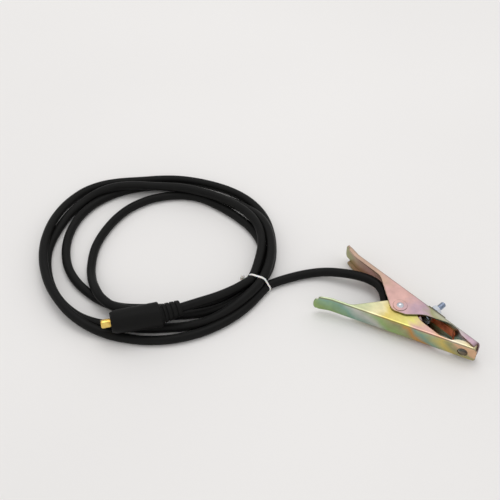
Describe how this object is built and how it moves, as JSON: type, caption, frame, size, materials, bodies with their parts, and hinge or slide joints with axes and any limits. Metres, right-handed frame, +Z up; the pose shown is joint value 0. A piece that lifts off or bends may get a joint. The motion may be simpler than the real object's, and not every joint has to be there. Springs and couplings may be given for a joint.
{
  "type": "welding ground clamp",
  "caption": "Spring-jaw ground clamp of pressed sheet steel, bolted to a coiled and tied welding cable with a rubber-covered bayonet plug on its far end.",
  "frame": {"origin": "on the jaw pivot axis, at the end of the rivet that the clamp lies on", "axes": "+X along the upper lever towards the jaws, +Y out through the upper lever, +Z up along the pivot"},
  "size_m": [0.4519, 0.2867, 0.0349],
  "materials": {
    "yellow_zinc": "pressed sheet steel, yellow passivated zinc plating, satin",
    "bright_zinc": "blue-white zinc plating, bright",
    "spring_steel": "drawn spring wire, lightly oiled",
    "dark_plate": "blackened steel, satin",
    "copper": "bare copper, slightly dulled",
    "brass": "turned brass, bright",
    "cable_rubber": "matt black rubber sheath",
    "plug_rubber": "matt black moulded rubber",
    "nylon": "natural white nylon"
  },
  "bodies": {
    "fixed_jaw": {"backing_plate": "dark_plate", "cable_coil": "cable_rubber", "cable_lead": "cable_rubber", "cable_lug": "copper", "cable_tail": "cable_rubber", "conductor_end": "copper", "contact_strip": "copper", "flat_washer": "bright_zinc", "pivot_rivet": "bright_zinc", "pivot_sleeve": "bright_zinc", "plug_conductor": "copper", "plug_ferrule": "copper", "plug_pin": "brass", "plug_set_screws": "bright_zinc", "plug_shell": "plug_rubber", "split_washer": "bright_zinc", "terminal_bolt": "bright_zinc", "terminal_nut": "bright_zinc", "tie_head": "nylon", "tie_strap": "nylon", "torsion_spring": "spring_steel", "upper_lever": "yellow_zinc"},
    "moving_jaw": {"lower_lever": "yellow_zinc"}
  },
  "joints": [
    {"name": "jaw_open", "type": "hinge", "parent": "fixed_jaw", "child": "moving_jaw", "pos_m": [0, 0, 0.013], "axis": [0, 0, -1], "range_deg": [0, 28], "stiffness_Nm_per_rad": 2, "springref_deg": -40.11, "deforming": ["torsion_spring"]}
  ]
}
